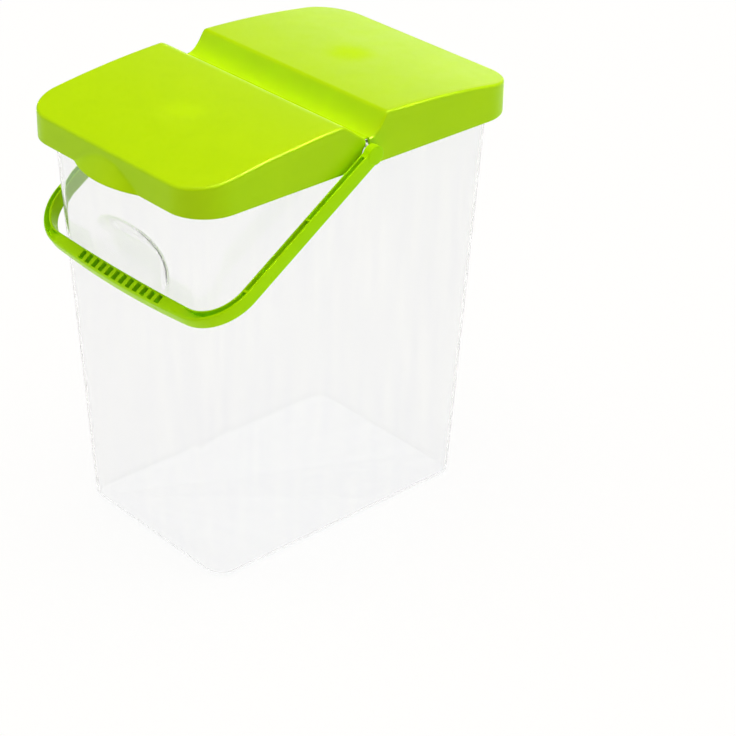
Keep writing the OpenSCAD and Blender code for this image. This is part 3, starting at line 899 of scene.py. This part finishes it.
def lime_polypropylene(name, pigment, pale_pigment, polish, sheen, gated):
    material = bpy.data.materials.new(name)
    material.use_nodes = True
    tree = material.node_tree
    shader = tree.nodes["Principled BSDF"]
    where = add_node(tree, "ShaderNodeTexCoord").outputs["Object"]
    swirl = add_node(tree, "ShaderNodeTexNoise", {"Vector": where, "Scale": per_metre(SWIRL_MM),
                                                  "Detail": 2.0, "Distortion": 1.2})
    colour = add_node(tree, "ShaderNodeValToRGB", {"Fac": swirl.outputs["Fac"]})
    dark, pale = colour.color_ramp.elements
    dark.position, dark.color = 0.3, linear(pigment)
    pale.position, pale.color = 0.7, linear(pale_pigment)
    tree.links.new(colour.outputs["Color"], shader.inputs["Base Color"])
    rubbed = add_node(tree, "ShaderNodeTexNoise", {"Vector": where, "Scale": per_metre(POLISH_MM),
                                                   "Detail": 4.0, "Roughness": 0.6})
    rough = add_node(tree, "ShaderNodeMapRange",
                     {"Value": rubbed.outputs["Fac"], "From Min": 0.3, "From Max": 0.7,
                      "To Min": polish - POLISH_SPREAD, "To Max": polish + POLISH_SPREAD})
    dull = add_node(tree, "ShaderNodeMath", {0: rough.outputs["Result"],
                                             1: gate_blush(tree, where) if gated else 0.0},
                    operation="ADD")
    tree.links.new(dull.outputs[0], shader.inputs["Roughness"])
    tree.links.new(lime_bump(tree, where), shader.inputs["Normal"])
    shader.inputs["IOR"].default_value = PP_IOR
    shader.inputs["Specular IOR Level"].default_value = sheen
    print(name, "nodes", len(tree.nodes))
    return material


lid_pp = lime_polypropylene("lime_polypropylene_lid", "#B3E000", "#B7E300", 0.34, 0.1, True)
handle_pp = lime_polypropylene("lime_polypropylene_handle", "#B0EA00", "#B4ED00", 0.3, 0.05, False)

# %% [markdown]
# ## Clear polypropylene
# The bin is a clear grade of polypropylene. It is not as clear as glass: the walls
# are a little milky, and the flow of the melt leaves faint upright streaks. So some of
# its light is scattered white, the rest goes straight through, and a weak bump follows
# the flow up the walls. Its IOR is set well below the real 1.49, because at the real
# value the round corners of the walls turn darker than they are on a real bin.

# %% Clear polypropylene
STREAK_MM, STREAK_LENGTH, STREAK_DEPTH_MM = 7, 12, 0.1
CLEARNESS, CLEAR_ROUGHNESS, CLEAR_IOR = 0.955, 0.06, 1.26


def clear_polypropylene(name, tint, milky_tint):
    material = bpy.data.materials.new(name)
    material.use_nodes = True
    tree = material.node_tree
    shader = tree.nodes["Principled BSDF"]
    where = add_node(tree, "ShaderNodeTexCoord").outputs["Object"]
    upright = add_node(tree, "ShaderNodeMapping", {"Vector": where,
                                                   "Scale": (1, 1, 1 / STREAK_LENGTH)})
    streak = add_node(tree, "ShaderNodeTexNoise", {"Vector": upright.outputs["Vector"],
                                                   "Scale": per_metre(STREAK_MM), "Detail": 3.0})
    colour = add_node(tree, "ShaderNodeValToRGB", {"Fac": streak.outputs["Fac"]})
    clear, milky = colour.color_ramp.elements
    clear.position, clear.color = 0.35, linear(tint)
    milky.position, milky.color = 0.65, linear(milky_tint)
    tree.links.new(colour.outputs["Color"], shader.inputs["Base Color"])
    bump = add_node(tree, "ShaderNodeBump", {"Height": streak.outputs["Fac"], "Strength": 0.05,
                                             "Distance": STREAK_DEPTH_MM * MM})
    tree.links.new(bump.outputs["Normal"], shader.inputs["Normal"])
    shader.inputs["Roughness"].default_value = CLEAR_ROUGHNESS
    shader.inputs["IOR"].default_value = CLEAR_IOR
    shader.inputs["Transmission Weight"].default_value = CLEARNESS
    print(name, "nodes", len(tree.nodes))
    return material


clear_pp = clear_polypropylene("clear_polypropylene", "#FDFDFE", "#FFFFFF")

# %% [markdown]
# ## What moves with what
# The bin stands still, the cover and the flap are lifted together, the flap also turns
# on the film hinge, and the handle swings on the pins. The film crosses the hinge, so
# it is attached to neither body, and its mesh stays where it is built.

# %% Dress the frame
# piece, material, the node it stands for, its slot, and the body that it rides on
PIECES = [(clear_bin, clear_pp, "bin", "clear_bin", "bin"),
          (cover_piece, lid_pp, "rear_cover", "lid", "lid"),
          (flap_piece, lid_pp, "front_flap", "lid", "flap"),
          (film_piece, lid_pp, "film_hinge", "lid", None),
          (handle_piece, handle_pp, "bail_handle", "handle", "handle")]
for piece, material, node, slot, body in PIECES:
    piece.data.materials.clear()
    piece.data.materials.append(material)
    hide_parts(node)
    if body:
        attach(piece, body)
    print(piece.name, "stands for", node, "in", material.name)
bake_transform(film_piece)

# %% [markdown]
# ## The studio
# A plain studio for plastic is a white room with soft light from several sides. Lamps
# would mirror in the clear walls as hard patches, so each softbox here is a wide lobe
# of the world's light around a direction. Gloss gets softboxes of its own, so the sheen on
# the lid's edges can be set apart from the light on its colour. What the lens sees
# behind the object is plain white, through the clear walls too.

# %% Softboxes
# name: where it hangs, how tightly it is focused, its colour and its strength
SOFTBOXES = {"overhead": ((0, 0, 1), 8, "#FFECD8", 5.0),
             "front left": ((-0.8, -0.6, 0.1), 6, "#CAFFF0", 1.45),
             "back right": ((0.8, 0.6, 0.1), 6, "#CAFFF0", 1.65),
             "room": ((0, 0, 1), 0, "#FFFFFF", 0.05)}
SHINE = {"backdrop": ((-0.6, 0.76, 0.16), 30, "#FFFFFF", 1.9),
         "strip": ((0.5, 0.3, 0.8), 32, "#FFFFFF", 240.0),
         "reflector": ((0.71, -0.35, 0.5), 40, "#FFFFFF", 40.0),
         "room": ((0, 0, 1), 0, "#FFFFFF", 0.06)}


def softbox(tree, direction, aim, focus, colour, strength):
    facing = add_node(tree, "ShaderNodeVectorMath",
                      {0: direction, 1: Vector(aim).normalized()}, operation="DOT_PRODUCT")
    above = add_node(tree, "ShaderNodeMath", {0: facing.outputs["Value"], 1: 0.0},
                     operation="MAXIMUM")
    lobe = add_node(tree, "ShaderNodeMath", {0: above.outputs[0], 1: float(focus)},
                    operation="POWER")
    level = add_node(tree, "ShaderNodeMath", {0: lobe.outputs[0], 1: strength},
                     operation="MULTIPLY")
    return add_node(tree, "ShaderNodeBackground", {"Color": linear(colour),
                                                   "Strength": level.outputs[0]})


def all_softboxes(tree, direction, boxes):
    total = None
    for aim, focus, colour, strength in boxes.values():
        box = softbox(tree, direction, aim, focus, colour, strength).outputs[0]
        if total:
            box = add_node(tree, "ShaderNodeAddShader", {0: total, 1: box}).outputs[0]
        total = box
    return total


# %% World
def seen_ray(tree, names):
    path = add_node(tree, "ShaderNodeLightPath")
    total = path.outputs[names[0]]
    for name in names[1:]:
        total = add_node(tree, "ShaderNodeMath", {0: total, 1: path.outputs[name]},
                         operation="MAXIMUM").outputs[0]
    return total


def make_world():
    world = bpy.data.worlds.new("studio")
    bpy.context.scene.world = world
    world.use_nodes = True
    tree = world.node_tree
    tree.nodes.clear()
    direction = add_node(tree, "ShaderNodeTexCoord").outputs["Generated"]
    light = all_softboxes(tree, direction, SOFTBOXES)
    shine = all_softboxes(tree, direction, SHINE)
    lit = add_node(tree, "ShaderNodeMixShader", {0: seen_ray(tree, ["Is Glossy Ray"]),
                                                 1: light, 2: shine})
    white = add_node(tree, "ShaderNodeBackground", {"Color": linear("#FFFFFF"), "Strength": 1.0})
    by_lens = seen_ray(tree, ["Is Camera Ray", "Is Transmission Ray"])
    seen = add_node(tree, "ShaderNodeMixShader", {0: by_lens, 1: lit.outputs[0],
                                                  2: white.outputs[0]})
    add_node(tree, "ShaderNodeOutputWorld", {"Surface": seen.outputs[0]})
    print("studio nodes:", len(tree.nodes))


make_world()

# %% [markdown]
# ## The floor
# The floor is white to the lens and through the bin, but keeps a share of plain
# diffuse paint, so that the object's soft shadow stays on it and it stands firmly.

# %% Floor
FLOOR_METRES, FLOOR_GLOW = 6.0, 0.93


def make_floor():
    corners = [(x * FLOOR_METRES / 2, y * FLOOR_METRES / 2, 0)
               for x, y in ((-1, -1), (1, -1), (1, 1), (-1, 1))]
    mesh = bpy.data.meshes.new("floor")
    mesh.from_pydata(corners, [], [(0, 1, 2, 3)])
    floor = bpy.data.objects.new("floor", mesh)
    bpy.context.scene.collection.objects.link(floor)
    paint = bpy.data.materials.new("floor_paint")
    paint.use_nodes = True
    tree = paint.node_tree
    tree.nodes.clear()
    glow = add_node(tree, "ShaderNodeEmission", {"Color": linear("#FFFFFF"), "Strength": 1.0})
    matt = add_node(tree, "ShaderNodeBsdfDiffuse", {"Color": linear("#F4F4F4")})
    seen = seen_ray(tree, ["Is Camera Ray", "Is Glossy Ray", "Is Transmission Ray"])
    share = add_node(tree, "ShaderNodeMath", {0: seen, 1: FLOOR_GLOW}, operation="MULTIPLY")
    surface = add_node(tree, "ShaderNodeMixShader", {0: share.outputs[0], 1: matt.outputs[0],
                                                     2: glow.outputs[0]})
    add_node(tree, "ShaderNodeOutputMaterial", {"Surface": surface.outputs[0]})
    mesh.materials.append(paint)
    print("floor:", FLOOR_METRES, "m square")
    return floor


make_floor()
bpy.context.scene.view_settings.view_transform = "Standard"
